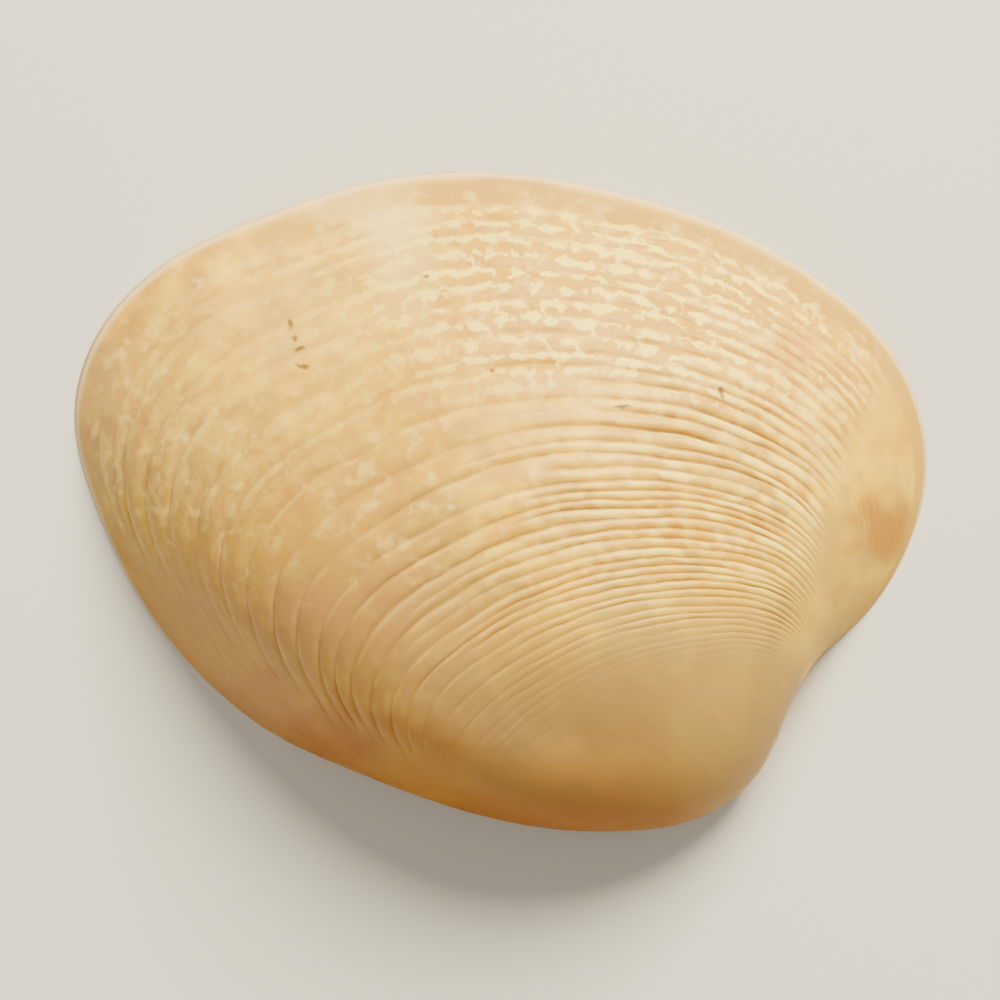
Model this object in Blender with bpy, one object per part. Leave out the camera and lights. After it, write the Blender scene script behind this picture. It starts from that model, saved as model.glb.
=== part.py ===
"""One left valve of the clam Marcia hiantina, lying mouth down on its rim.

Metres, +Z up. +X is the front (anterior) end and +Y the ventral margin, so seen from above the beak is at
the lower right. The origin is the middle of the valve's box, on the plane of the rim.

The outside is a growth spiral. Every growth line has the shape of the margin: the line of size s is the
margin shrunk to s about the beak, and turned back about the coiling axis by the angle that the valve has
coiled since.
"""

from math import cos, pi, radians, sin

import bmesh
import bpy
import numpy as np
from mathutils import Matrix, Vector
from mathutils.bvhtree import BVHTree

MM = 0.001
# How much a bend draws an outline's points together, against their spread along it.
BEND_WEIGHT = 0.7
# How finely an outline is divided between two given points before its own points are spaced out.
SPLINE_FINENESS = 40

# The margin in the plane of the rim, in mm: front end, ventral side, hind end, then the hinge line.
MARGIN_MM = (
    (18.4, -6.9), (21.45, -2.65), (22.5, 2.6), (19.85, 8.95), (17.6, 11.05), (14.45, 13.15),
    (9.75, 15.25), (6.15, 16.3), (-1.1, 17.35), (-8.85, 16.3), (-11.85, 15.25), (-16.7, 13.15),
    (-21.15, 8.95), (-22.45, 4.7), (-21.25, -0.55), (-18.65, -5.8), (-15.0, -10.05), (-10.05, -13.2),
    (-4.95, -14.0), (0.3, -14.5), (5.2, -14.95), (10.5, -14.85), (14.3, -13.15), (15.5, -9.8),
)
BEAK = (13.1 * MM, -14.4 * MM, 0.3 * MM)
COILING_AXIS_PLAN_DEG = 18.0
COILING_AXIS_RISE_DEG = 18.0
# How far the valve coils as it grows, in radians per unit of growth, and how that eases off with age.
COIL_RATE = 1.25
COIL_EASE = 0.476
SMALLEST_LINE = 0.03

# Growth ridges: the step from one to the next, as a share of full size, at five ages.
RIDGE_STEP_AGES = (0.42, 0.58, 0.72, 0.88, 1.0)
RIDGE_STEPS = (0.0135, 0.0165, 0.0215, 0.027, 0.022)
FIRST_RIDGE = 0.44
RIDGE_HEIGHT = 0.20 * MM
RIDGE_HEIGHT_TO_WIDTH = 0.28
RIDGE_FADE = 0.05
COLUMNS = 58
UMBO_LINES = 9
UMBO_GAP = 0.01

# The edge of the hollow: the rim is about 1.2 mm wide, and the hinge plate widens it under the beak.
MOUTH_MM = (
    (17.3, -5.9), (20.3, -2.1), (21.2, 2.5), (18.85, 8.2), (13.85, 12.1), (5.9, 15.1), (-1.1, 16.1),
    (-8.55, 15.0), (-16.05, 12.0), (-20.0, 8.3), (-21.15, 4.6), (-20.0, -0.3), (-17.65, -5.2),
    (-14.3, -9.0), (-9.5, -12.0), (-5.2, -12.5), (0.05, -12.4), (5.3, -11.7), (10.05, -10.5), (14.5, -8.2),
)
HOLLOW_CENTRE = (0.5 * MM, 1.5 * MM)
WALL = 1.7 * MM
RIM_WALL = 0.8 * MM
# The hollow's roof is low at the mouth and reaches the full wall thickness's depth this far inside it.
SHOULDER = 4.0 * MM
SHOULDER_START = 0.25
LOWEST_ROOF = 0.35 * MM
# The wall is measured square to the surface, up to this steepness of it.
LEAST_FLATNESS = 0.45
HOLLOW_RINGS = 9
HOLLOW_COLUMNS = 44
SMALLEST_HOLLOW_RING_ANGLE = 0.12

# The hinge plate lies a little inside the plane of the rim, and carries three cardinal teeth and the nymph.
HINGE_RECESS_MM = (
    (-7.3, -12.9), (-4.7, -13.2), (0.3, -13.7), (5.2, -14.1), (10.2, -14.0), (13.4, -12.7),
    (14.4, -10.4), (14.6, -8.6), (12.6, -7.4), (9.6, -8.6), (5.2, -10.0), (0.0, -10.8), (-5.0, -11.4),
)
HINGE_RECESS = 0.9 * MM
HINGE_RECESS_POINTS = 26
TOOTH_ROOT = HINGE_RECESS + 0.6 * MM
TOOTH_TOP_TO_ROOT = 0.55
CUT_BELOW = 1.0 * MM
# Each tooth, in mm: its end by the beak, its other end, its width, and how far its top is from the rim.
TEETH_MM = {
    "front_tooth": ((12.5, -12.5), (12.7, -9.3), 0.65, 0.06),
    "middle_tooth": ((11.7, -12.9), (10.0, -10.6), 1.0, 0.06),
    "hind_tooth": ((10.5, -13.2), (6.0, -11.9), 0.6, 0.06),
    "nymph": ((9.0, -13.65), (-0.5, -13.05), 0.65, 0.3),
}

HIGH_ABOVE = 50 * MM
SHARP_ANGLE = radians(35)
SHELL_COLOUR = (0.78, 0.62, 0.40, 1.0)
SHELL_ROUGHNESS = 0.38


def clear_scene():
    for item in list(bpy.data.objects):
        bpy.data.objects.remove(item, do_unlink=True)


def make_collection(name):
    group = bpy.data.collections.new(name)
    bpy.context.scene.collection.children.link(group)
    return group


def closed_spline(points, count):
    """A closed cubic spline through points, as count points that lie closer together where it bends."""
    ends = np.asarray(points, float)
    following = np.roll(ends, -1, axis=0)
    gaps = np.linalg.norm(following - ends, axis=1)
    number = len(ends)
    system = np.zeros((number, number))
    wanted = np.zeros((number, 2))
    for i in range(number):
        before, after = gaps[i - 1], gaps[i]
        system[i, i - 1] += before
        system[i, i] += 2 * (before + after)
        system[i, (i + 1) % number] += after
        wanted[i] = 6 * ((following[i] - ends[i]) / after - (ends[i] - ends[i - 1]) / before)
    bends = np.linalg.solve(system, wanted)
    next_bends = np.roll(bends, -1, axis=0)
    pieces = []
    for i in range(number):
        gap = gaps[i]
        along = np.linspace(0, gap, SPLINE_FINENESS, endpoint=False)[:, None]
        left = gap - along
        pieces.append(
            (bends[i] * left**3 + next_bends[i] * along**3) / (6 * gap)
            + (ends[i] / gap - bends[i] * gap / 6) * left
            + (following[i] / gap - next_bends[i] * gap / 6) * along
        )
    dense = np.concatenate(pieces)
    loop = np.vstack([dense, dense[:1]])
    steps = np.diff(loop, axis=0)
    lengths = np.linalg.norm(steps, axis=1)
    headings = np.unwrap(np.arctan2(steps[:, 1], steps[:, 0]))
    bending = np.abs(np.diff(headings, prepend=headings[0]))
    shares = lengths / lengths.sum() + BEND_WEIGHT * bending / bending.sum()
    travelled = np.concatenate([[0], np.cumsum(shares)])
    stops = np.linspace(0, travelled[-1], count, endpoint=False)
    return np.column_stack([np.interp(stops, travelled, loop[:, axis]) for axis in (0, 1)])


def growth_lines(sizes):
    """The smooth growth lines of the given sizes, as an array of (line, column, xyz)."""
    margin = closed_spline(MARGIN_MM, COLUMNS) * MM
    from_beak = np.column_stack([margin, np.zeros(COLUMNS)]) - BEAK
    plan = radians(COILING_AXIS_PLAN_DEG)
    rise = radians(COILING_AXIS_RISE_DEG)
    axis = np.array([cos(plan) * cos(rise), sin(plan) * cos(rise), sin(rise)])
    across = np.cross(axis, from_beak)
    along = np.outer(from_beak @ axis, axis)
    lines = []
    for size in sizes:
        turned = COIL_RATE * (1 - size**COIL_EASE) / COIL_EASE
        line = from_beak * cos(turned) + across * sin(turned) + along * (1 - cos(turned))
        lines.append(size * line + BEAK)
    return np.array(lines)


def ridge_sizes():
    """The sizes of the ridges' crests, from the margin inwards."""
    sizes = []
    size = 1.0
    while size > FIRST_RIDGE:
        step = np.interp(size, RIDGE_STEP_AGES, RIDGE_STEPS)
        sizes.append(size - step / 2)
        size -= step
    return sizes


def loft(mesh, rings):
    """Joins rings of points by four-sided faces, and returns the rings' vertices."""
    rows = [[mesh.verts.new(point) for point in ring] for ring in rings]
    for lower, upper in zip(rows, rows[1:]):
        for i, corner in enumerate(lower):
            j = (i + 1) % len(lower)
            mesh.faces.new((corner, lower[j], upper[j], upper[i]))
    return rows


def finish_mesh(mesh, name, group):
    """Makes an object of the mesh, closed and facing out."""
    bmesh.ops.recalc_face_normals(mesh, faces=mesh.faces)
    data = bpy.data.meshes.new(name)
    mesh.to_mesh(data)
    mesh.free()
    data.shade_smooth()
    data.set_sharp_from_angle(angle=SHARP_ANGLE)
    item = bpy.data.objects.new(name, data)
    group.objects.link(item)
    return item


def hide_cutter(item):
    item.hide_render = True
    item.display_type = "WIRE"


def outer_body(group):
    """The valve filled solid down to the rim's plane, ridged, and the tree of its smooth form."""
    crests = ridge_sizes()
    grooves = [(outer + inner) / 2 for outer, inner in zip(crests, crests[1:])]
    umbo = np.geomspace(crests[-1] - UMBO_GAP, SMALLEST_LINE, UMBO_LINES)
    sizes = sorted([1.0, *crests, *grooves, *umbo], reverse=True)
    lines = growth_lines(sizes)
    mesh = bmesh.new()
    rows = loft(mesh, lines)
    mesh.faces.new(rows[0])
    mesh.faces.new(rows[-1])
    bmesh.ops.recalc_face_normals(mesh, faces=mesh.faces)
    mesh.normal_update()
    form = BVHTree.FromBMesh(mesh)
    raised = []
    for i, size in enumerate(sizes):
        if size not in crests:
            continue
        widths = np.linalg.norm(lines[i - 1] - lines[i + 1], axis=1)
        fade = min(1.0, (size - FIRST_RIDGE) / RIDGE_FADE)
        for corner, width in zip(rows[i], widths):
            height = max(0.0, fade) * min(RIDGE_HEIGHT, RIDGE_HEIGHT_TO_WIDTH * width)
            raised.append((corner, corner.co + corner.normal * height))
    for corner, place in raised:
        corner.co = (place.x, place.y, max(place.z, 0.0))
    return finish_mesh(mesh, "valve", group), form


def height_above(form, x, y):
    """The height of the outside over a point of the rim's plane, and how steep it is there."""
    above = Vector((x, y, HIGH_ABOVE))
    place, normal, _, _ = form.ray_cast(above, Vector((0, 0, -1)))
    if place is None:
        return 0.0, 1.0
    return place.z, max(abs(normal.z), LEAST_FLATNESS)


def hollow(form, group):
    """The cutter for the inside: a smooth dome, one wall thickness under the outside."""
    mouth = closed_spline(MOUTH_MM, HOLLOW_COLUMNS) * MM
    centre = np.array(HOLLOW_CENTRE)
    rings = [np.column_stack([mouth, np.full(HOLLOW_COLUMNS, -CUT_BELOW)])]
    for share in np.sin(np.linspace(pi / 2, SMALLEST_HOLLOW_RING_ANGLE, HOLLOW_RINGS)):
        ring = []
        for edge in mouth:
            x, y = centre + (edge - centre) * share
            height, flatness = height_above(form, x, y)
            inset = np.linalg.norm(edge - centre) * (1 - share)
            depth_in = min(1.0, inset / SHOULDER)
            wall = RIM_WALL + (WALL - RIM_WALL) * depth_in
            rise = SHOULDER_START + (1 - SHOULDER_START) * sin(depth_in * pi / 2)
            roof = (height - wall / flatness) * rise
            ring.append((x, y, max(roof, LOWEST_ROOF)))
        rings.append(np.array(ring))
    mesh = bmesh.new()
    rows = loft(mesh, rings)
    mesh.faces.new(rows[0])
    mesh.faces.new(rows[-1])
    item = finish_mesh(mesh, "hollow_cutter", group)
    hide_cutter(item)
    return item


def hinge_recess(group):
    """The cutter that sets the hinge plate back from the plane of the rim."""
    outline = closed_spline(HINGE_RECESS_MM, HINGE_RECESS_POINTS) * MM
    heights = (-CUT_BELOW, HINGE_RECESS)
    rings = [np.column_stack([outline, np.full(len(outline), height)]) for height in heights]
    mesh = bmesh.new()
    rows = loft(mesh, rings)
    mesh.faces.new(rows[0])
    mesh.faces.new(rows[-1])
    item = finish_mesh(mesh, "hinge_recess_cutter", group)
    hide_cutter(item)
    return item


def hinge_tooth(name, start, end, width, set_back, group):
    """One tapered tooth or ledge, from inside the hinge plate to its top."""
    start, end = Vector(start) * MM, Vector(end) * MM
    run = end - start
    mesh = bmesh.new()
    bmesh.ops.create_cube(mesh, size=1.0)
    for corner in mesh.verts:
        at_top = corner.co.z < 0
        narrow = TOOTH_TOP_TO_ROOT if at_top else 1.0
        corner.co.x *= run.length * (1 + narrow) / 2
        corner.co.y *= width * MM * narrow
        corner.co.z = set_back * MM if at_top else TOOTH_ROOT
    middle = (start + end) / 2
    turn = Matrix.Rotation(run.angle_signed(Vector((1, 0))), 4, "Z")
    bmesh.ops.transform(mesh, matrix=Matrix.Translation((middle.x, middle.y, 0)) @ turn, verts=mesh.verts)
    item = finish_mesh(mesh, name, group)
    hide_cutter(item)
    return item


def cut(item, operation, cutter):
    modifier = item.modifiers.new(cutter.name, "BOOLEAN")
    modifier.operation = operation
    modifier.solver = "EXACT"
    modifier.object = cutter


def shell_material():
    material = bpy.data.materials.new("shell")
    material.use_nodes = True
    shader = material.node_tree.nodes["Principled BSDF"]
    shader.inputs["Base Color"].default_value = SHELL_COLOUR
    shader.inputs["Roughness"].default_value = SHELL_ROUGHNESS
    shader.inputs["Metallic"].default_value = 0.0
    material.diffuse_color = SHELL_COLOUR
    return material


def main():
    clear_scene()
    parts = make_collection("marcia_hiantina_shell")
    cutters = make_collection("cutters")
    valve, form = outer_body(parts)
    cut(valve, "DIFFERENCE", hollow(form, cutters))
    cut(valve, "DIFFERENCE", hinge_recess(cutters))
    for name, sizes in TEETH_MM.items():
        cut(valve, "UNION", hinge_tooth(name, *sizes, cutters))
    valve.data.materials.append(shell_material())


main()
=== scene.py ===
"""The looks of one left valve of the clam Marcia hiantina, lying mouth down: worn cream to tan shell.

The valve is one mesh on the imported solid's own growth spiral. Its rows follow the ridges, six to a ridge, so
that grooves wander, fade and join as they do on the real shell. Its underside has the hinge and the scars.
"""

from math import cos, pi, radians, sin

import bpy
import numpy as np
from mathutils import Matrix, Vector, noise
from mathutils.bvhtree import BVHTree


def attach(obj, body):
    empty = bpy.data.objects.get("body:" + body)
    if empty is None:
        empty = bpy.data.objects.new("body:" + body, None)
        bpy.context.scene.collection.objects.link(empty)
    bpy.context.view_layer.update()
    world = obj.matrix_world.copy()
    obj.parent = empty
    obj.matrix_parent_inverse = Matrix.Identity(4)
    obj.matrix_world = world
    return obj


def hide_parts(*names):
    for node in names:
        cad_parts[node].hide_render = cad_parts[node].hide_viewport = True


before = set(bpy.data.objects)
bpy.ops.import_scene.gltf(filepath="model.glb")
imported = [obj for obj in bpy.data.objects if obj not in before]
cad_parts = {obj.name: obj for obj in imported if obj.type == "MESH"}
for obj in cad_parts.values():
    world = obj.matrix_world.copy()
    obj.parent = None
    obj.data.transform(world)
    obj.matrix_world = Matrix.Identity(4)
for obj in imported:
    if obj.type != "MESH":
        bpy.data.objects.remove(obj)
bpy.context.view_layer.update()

MM = 0.001

# The growth spiral, as in the solid. Outlines are in mm, in the plane of the rim. The age of a point is the
# size of its growth line, as a share of the margin's.
MARGIN_MM = (
    (18.4, -6.9), (21.45, -2.65), (22.5, 2.6), (19.85, 8.95), (17.6, 11.05), (14.45, 13.15),
    (9.75, 15.25), (6.15, 16.3), (-1.1, 17.35), (-8.85, 16.3), (-11.85, 15.25), (-16.7, 13.15),
    (-21.15, 8.95), (-22.45, 4.7), (-21.25, -0.55), (-18.65, -5.8), (-15.0, -10.05), (-10.05, -13.2),
    (-4.95, -14.0), (0.3, -14.5), (5.2, -14.95), (10.5, -14.85), (14.3, -13.15), (15.5, -9.8),
)
BEAK_MM = (13.1, -14.4, 0.3)
COILING_AXIS_PLAN_DEG = 18.0
COILING_AXIS_RISE_DEG = 18.0
COIL_RATE = 1.25
COIL_EASE = 0.476
SMALLEST_LINE = 0.03

# The ridges: the step from one groove to the next, as a share of full size, at seven ages.
STEP_AGES = (0.44, 0.52, 0.60, 0.68, 0.74, 0.84, 0.95)
STEPS = (0.0100, 0.0110, 0.0138, 0.0172, 0.0200, 0.0220, 0.0205)
FIRST_GROOVE = 0.955
LAST_GROOVE = 0.36
STEP_JITTER = 0.24
# Grooves wander by these shares of a step, in noises of these lengths. The long one changes slowly from
# groove to groove, over this many of them.
GROOVE_WANDER = 0.30
WANDER_LENGTH_MM = 7.0
WANDER_GROOVES = 2.3
SHORT_WANDER = 0.11
SHORT_WANDER_LENGTH_MM = 1.9
# How strong a groove is along its course, on the middle of the shell, and outside it, from the first of these
# ages to the second: a middle value, and two noises. Each noise has its strength, its length in mm, and its
# step and start from groove to groove.
WHOLE_GROOVES = (0.88, (0.70, 5.5, 0.83, 21.7), (0.3, 1.6, 1.7, 0.0))
BROKEN_GROOVES = (0.50, (1.30, 3.2, 1.31, 5.2), (0.8, 1.2, 1.9, 0.0))
BROKEN_AGES = (0.66, 0.80)
STRONGEST_GROOVE = 1.15
# Where the rows of one ridge lie between its two grooves, and how much of the groove's depth each one has.
# The rows beside a groove keep the same distance from it in all ridges wider than the reference step.
RIDGE_ROWS = ((0.0, 1.0), (0.10, 0.50), (0.21, -0.06), (0.50, -0.12), (0.78, 0.04), (0.90, 0.58))
REFERENCE_STEP = 0.0165
GROOVE_DEPTH_AGES = (0.36, 0.40, 0.45, 0.50, 0.56, 0.70, 0.80, 0.93, 1.0)
GROOVE_DEPTHS_MM = (0.0, 0.03, 0.07, 0.11, 0.145, 0.19, 0.11, 0.06, 0.03)
DEEPEST_GROOVE_MM = 0.22
GROOVE_DEPTH_TO_WIDTH = 0.26
# The ages at which the depth changes wander by this much, in a noise of this length.
DEPTH_AGE_WANDER = 0.025
DEPTH_AGE_WANDER_LENGTH_MM = 6.0
# More numbers than there are grooves, for what is drawn at random for each of them.
MOST_GROOVES = 200

# The mesh. The umbo is smooth, but its rows take up this many ridge numbers.
UMBO_ROWS = 16
UMBO_RIDGES = 12
MARGIN_ROWS = 7
# Columns are closer together where the margin bends, and along its ventral side.
COLUMNS = 300
BEND_WEIGHT = 0.35
VENTRAL_WEIGHT = 1.5
VENTRAL_FROM_MM = -9.0
# A spline has this many points to a span. Distances to it are measured with only one in so many of them.
SPAN_POINTS = 60
COARSE_LOOP_STRIDE = 12
LEAST_SIZE_STEP = 1e-5
MOST_TRIANGLES = 198000

# Places where the ridges are worn down, in mm: x, y, radius along x, radius along y, how much is gone. Where
# that is negative, the grooves are deeper than elsewhere.
WORN_MM = (
    (-10.5, -4.0, 4.0, 5.0, 0.5),
    (-6.0, 6.5, 6.0, 4.0, 0.5),
    (-11.5, 9.0, 5.0, 4.0, 0.4),
    (2.0, 3.5, 5.0, 2.0, 0.3),
    (10.8, 3.7, 5.5, 1.6, -0.8),
    (7.5, -10.4, 7.0, 3.6, 0.97),
    (-5.5, -8.5, 5.0, 5.0, 0.2),
)
# In front of a line in the plan the shell is smooth: the line's x for each y, in mm.
FRONT_LINE_Y_MM = (-9.0, -5.3, -2.1, 1.8, 4.2, 8.0, 12.0)
FRONT_LINE_X_MM = (14.2, 15.6, 16.2, 17.2, 18.6, 21.0, 30.0)
FRONT_LINE_WIDTH_MM = 1.3
FRONT_SMOOTHED = 0.93
# Along the lower hind margin the ridges fade out between these distances from the edge, in mm. Further
# forward the distances are scaled, so that the ridges fade nearer to the edge.
LOWER_EDGE_MM = (2.4, 5.6)
LOWER_EDGE_X_MM = (-13.0, -8.5, -5.0)
LOWER_EDGE_SCALES = (1.0, 0.62, 0.28)
LOWER_EDGE_Y_MM = (0.0, -4.5)
LOWER_EDGE_SMOOTHED = 0.95
# Both of these zones have ragged borders: by how much, and the length of the noise, in mm.
WEAR_RAGGED_MM = 0.5
WEAR_RAGGED_LENGTH_MM = 1.4
# Towards the hind end every second groove runs out, near a line in the plan: its x for each y, in mm. Behind
# it the others are shallower, and lie in broad soft bands. Near the margin this comes to an end, from the
# first of the run-out ages to the second. The bands set in between their own two ages.
RUN_OUT_LINE_Y_MM = (-12.0, -10.0, -8.0, 5.0)
RUN_OUT_LINE_X_MM = (1.4, 0.2, -1.0, 4.0)
RUN_OUT_SPREAD_MM = 3.4
RUN_OUT_LENGTH_MM = 2.2
RUN_OUT_AGES = (0.88, 0.96)
HIND_SHALLOWER = 0.36
BAND_DEPTH_MM = 0.11
BAND_AGES = (0.45, 0.55)
# Two noises all over the outside, the margin apart: they set in inwards between these ages.
FREE_AGES = (1.0, 0.97)
UNDULATION_MM = 0.05
UNDULATION_LENGTH_MM = 5.0
GRAIN_MM = 0.008
GRAIN_LENGTH_MM = 0.9
# Flat chips along the ridges: their height by age, their length along a ridge, how many lie across one, the
# levels of the noise at their edges, and how much of them a groove takes away.
CHIP_AGES = (0.42, 0.55, 0.70, 0.82, 0.95, 1.0)
CHIPS_MM = (0.002, 0.005, 0.014, 0.030, 0.024, 0.0)
CHIP_LENGTH_MM = 1.1
CHIPS_ACROSS = 1.6
CHIP_LEVELS = (-0.15, 0.35)
CHIPS_LOST_TO_GROOVES = 0.7

# The hollow, as in the solid.
MOUTH_MM = (
    (17.3, -5.9), (20.3, -2.1), (21.2, 2.5), (18.85, 8.2), (13.85, 12.1), (5.9, 15.1), (-1.1, 16.1),
    (-8.55, 15.0), (-16.05, 12.0), (-20.0, 8.3), (-21.15, 4.6), (-20.0, -0.3), (-17.65, -5.2),
    (-14.3, -9.0), (-9.5, -12.0), (-5.2, -12.5), (0.05, -12.4), (5.3, -11.7), (10.05, -10.5), (14.5, -8.2),
)
HOLLOW_CENTRE_MM = (0.5, 1.5)
WALL_MM = 1.7
RIM_WALL_MM = 0.8
SHOULDER_MM = 4.0
SHOULDER_POWER = 0.8
LEAST_FLATNESS = 0.45
# Just inside the rim the hollow steps up by this much at least, over this width.
RIM_STEP_MM = 0.35
RIM_STEP_WIDTH_MM = 0.5
HINGE_RECESS_MM = (
    (-7.3, -12.9), (-4.7, -13.2), (0.3, -13.7), (5.2, -14.1), (10.2, -14.0), (13.4, -12.7),
    (14.4, -10.4), (14.6, -8.6), (12.6, -7.4), (9.6, -8.6), (5.2, -10.0), (0.0, -10.8), (-5.0, -11.4),
)
HINGE_RECESS_DEPTH_MM = 0.9
RECESS_EDGE_MM = (-0.1, 0.5)
# Each tooth, in mm: its end by the beak, its other end, its width and its top's distance inside the rim's
# plane. Its sides slope between two distances from its middle line, as shares of the width.
TEETH_MM = (
    ((12.5, -12.5), (12.7, -9.3), 0.65, 0.06),
    ((11.7, -12.9), (10.0, -10.6), 1.0, 0.06),
    ((10.5, -13.2), (6.0, -11.9), 0.6, 0.06),
    ((9.0, -13.65), (-0.5, -13.05), 0.65, 0.3),
)
TOOTH_SLOPE = (0.85, 0.2)
# Muscle scars, in mm: x, y, radius along x, radius along y. The pallial line is a path with a notch, the
# sinus. Both begin at a distance inside the mouth's outline.
SCARS_MM = ((16.6, -0.6, 2.0, 3.3), (-14.6, -2.6, 2.7, 3.1))
SCAR_SOFTNESS = 0.06
MARKS_FROM_MM = 0.8
PALLIAL_LINE_MM = (
    (15.6, 2.6), (13.6, 6.0), (9.0, 9.4), (1.0, 11.4), (-7.0, 10.6), (-12.6, 7.8), (-14.6, 5.6),
    (-11.5, 4.3), (-8.6, 3.0), (-7.6, 1.6), (-9.2, 0.6), (-12.6, 0.4),
)
SCAR_DEPTH_MM = 0.10
PALLIAL_DEPTH_MM = 0.07
PALLIAL_WIDTH_MM = 0.45
PALLIAL_MARK = 0.8
# Low waves in the hollow: their height and length, and the distances inside the mouth where they set in.
WAVE_MM = 0.05
WAVE_LENGTH_MM = 3.2
WAVE_FROM_MM = (1.0, 4.0)
# The corner of the margin is rounded by this much, and its outer side drawn in by this share of that.
EDGE_ROUNDING_MM = 0.14
EDGE_DRAWN_IN = 0.25
# The inner grid's rings are closer together by the rim, and reach this share of the way to the middle.
INNER_RINGS = 44
INNER_RING_BIAS = 1.45
INNER_REACH = 0.985
# The roof is measured from this height, on growth lines of these ages: the first, the last and their number.
ABOVE_VALVE_MM = 50.0
EVEN_ROOF_AGES = (1.0, 0.4, 60)
BEAK_ROOF_AGES = (0.39, SMALLEST_LINE, 20)

SEED = 17
# Cloudy noise is divided by its usual spread.
CLOUD_SPREAD = 0.30
CLOUD_ROUGHNESS = 0.9
CLOUD_LACUNARITY = 2.0


def smoothstep(low, high, value):
    """0 at low and 1 at high, smoothly. low may be the larger of the two."""
    share = np.clip((value - low) / (high - low), 0.0, 1.0)
    return share * share * (3 - 2 * share)


def dense_loop(points):
    """A closed cubic spline through points, finely divided, with its first point repeated at its end."""
    ends = np.asarray(points, float)
    following = np.roll(ends, -1, axis=0)
    gaps = np.linalg.norm(following - ends, axis=1)
    number = len(ends)
    system = np.zeros((number, number))
    wanted = np.zeros((number, 2))
    for i in range(number):
        before, after = gaps[i - 1], gaps[i]
        system[i, i - 1] += before
        system[i, i] += 2 * (before + after)
        system[i, (i + 1) % number] += after
        wanted[i] = 6 * ((following[i] - ends[i]) / after - (ends[i] - ends[i - 1]) / before)
    bends = np.linalg.solve(system, wanted)
    next_bends = np.roll(bends, -1, axis=0)
    pieces = []
    for i in range(number):
        gap = gaps[i]
        along = np.linspace(0, gap, SPAN_POINTS, endpoint=False)[:, None]
        left = gap - along
        pieces.append(
            (bends[i] * left**3 + next_bends[i] * along**3) / (6 * gap)
            + (ends[i] / gap - bends[i] * gap / 6) * left
            + (following[i] / gap - next_bends[i] * gap / 6) * along
        )
    dense = np.concatenate(pieces)
    return np.vstack([dense, dense[:1]])


def margin_columns():
    """The margin's points, one to a column, and how far round the margin each one is, in mm."""
    loop = dense_loop(MARGIN_MM)
    steps = np.diff(loop, axis=0)
    lengths = np.linalg.norm(steps, axis=1)
    headings = np.unwrap(np.arctan2(steps[:, 1], steps[:, 0]))
    bending = np.abs(np.diff(headings, prepend=headings[0]))
    shares = lengths / lengths.sum() + BEND_WEIGHT * bending / bending.sum()
    shares *= np.where(loop[1:, 1] > VENTRAL_FROM_MM, VENTRAL_WEIGHT, 1.0)
    travelled = np.concatenate([[0], np.cumsum(shares)])
    reached = np.concatenate([[0], np.cumsum(lengths)])
    stops = np.linspace(0, travelled[-1], COLUMNS, endpoint=False)
    margin = np.column_stack([np.interp(stops, travelled, loop[:, axis]) for axis in (0, 1)])
    return margin, np.interp(stops, travelled, reached), reached[-1]


def spiral(sizes, margin):
    """Points of growth lines, in mm. sizes has a row to a line, and a column to each point of the margin."""
    from_beak = np.column_stack([margin, np.zeros(len(margin))]) - BEAK_MM
    plan = radians(COILING_AXIS_PLAN_DEG)
    rise = radians(COILING_AXIS_RISE_DEG)
    axis = np.array([cos(plan) * cos(rise), sin(plan) * cos(rise), sin(rise)])
    across = np.cross(axis, from_beak)
    along = np.outer(from_beak @ axis, axis)
    turned = (COIL_RATE * (1 - sizes**COIL_EASE) / COIL_EASE)[..., None]
    turned_line = from_beak * np.cos(turned) + across * np.sin(turned) + along * (1 - np.cos(turned))
    return sizes[..., None] * turned_line + BEAK_MM


def noise_grid(x, y, z=0.0):
    """Smooth noise, about -1 to 1, at each of the given coordinates."""
    x, y, z = np.broadcast_arrays(x, y, z)
    values = [noise.noise(Vector(place)) for place in zip(x.ravel(), y.ravel(), z.ravel())]
    return np.array(values).reshape(x.shape)


def noise_round(ring, length, level):
    """Smooth noise along the margin that closes on itself: ring has the places on a circle as long as it."""
    return noise_grid(ring[:, 0] / length, ring[:, 1] / length, level)


def clouds(x, y, z, octaves=3):
    """Cloudy noise with a middle of about 0 and a spread of about 1, at each of the given coordinates."""
    x, y, z = np.broadcast_arrays(x, y, z)
    values = [
        noise.fractal(Vector(place), CLOUD_ROUGHNESS, CLOUD_LACUNARITY, octaves)
        for place in zip(x.ravel(), y.ravel(), z.ravel())
    ]
    return np.array(values).reshape(x.shape) / CLOUD_SPREAD


def stretch(ends, value):
    """1 along a stretch of values, 0 outside it. ends has two pairs: where it comes in and where it goes."""
    (start, full), (fading, gone) = ends
    return smoothstep(start, full, value) * smoothstep(gone, fading, value)


def blend(colours, other, share):
    """Colours with another one laid over them, by the given share at each point."""
    return colours + (np.array(other) - colours) * share[..., None]


def spot(x, y, middle_x, middle_y, radius_x, radius_y, softness):
    """1 inside an upright elliptic spot of the plan, and 0 well outside it. Sizes in mm."""
    far = np.hypot((x - middle_x) / radius_x, (y - middle_y) / radius_y)
    return smoothstep(1 + softness, 1 - softness, far)


def grid_normals(places):
    """Outward normals of a grid of points whose columns close into rings."""
    around = np.roll(places, -1, axis=1) - np.roll(places, 1, axis=1)
    inward = np.gradient(places, axis=0)
    normals = np.cross(around, inward)
    return normals / np.linalg.norm(normals, axis=2, keepdims=True)


def behind_line(places):
    """How far each point is behind the line where grooves run out, in mm."""
    return np.interp(places[..., 1], RUN_OUT_LINE_Y_MM, RUN_OUT_LINE_X_MM) - places[..., 0]


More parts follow.
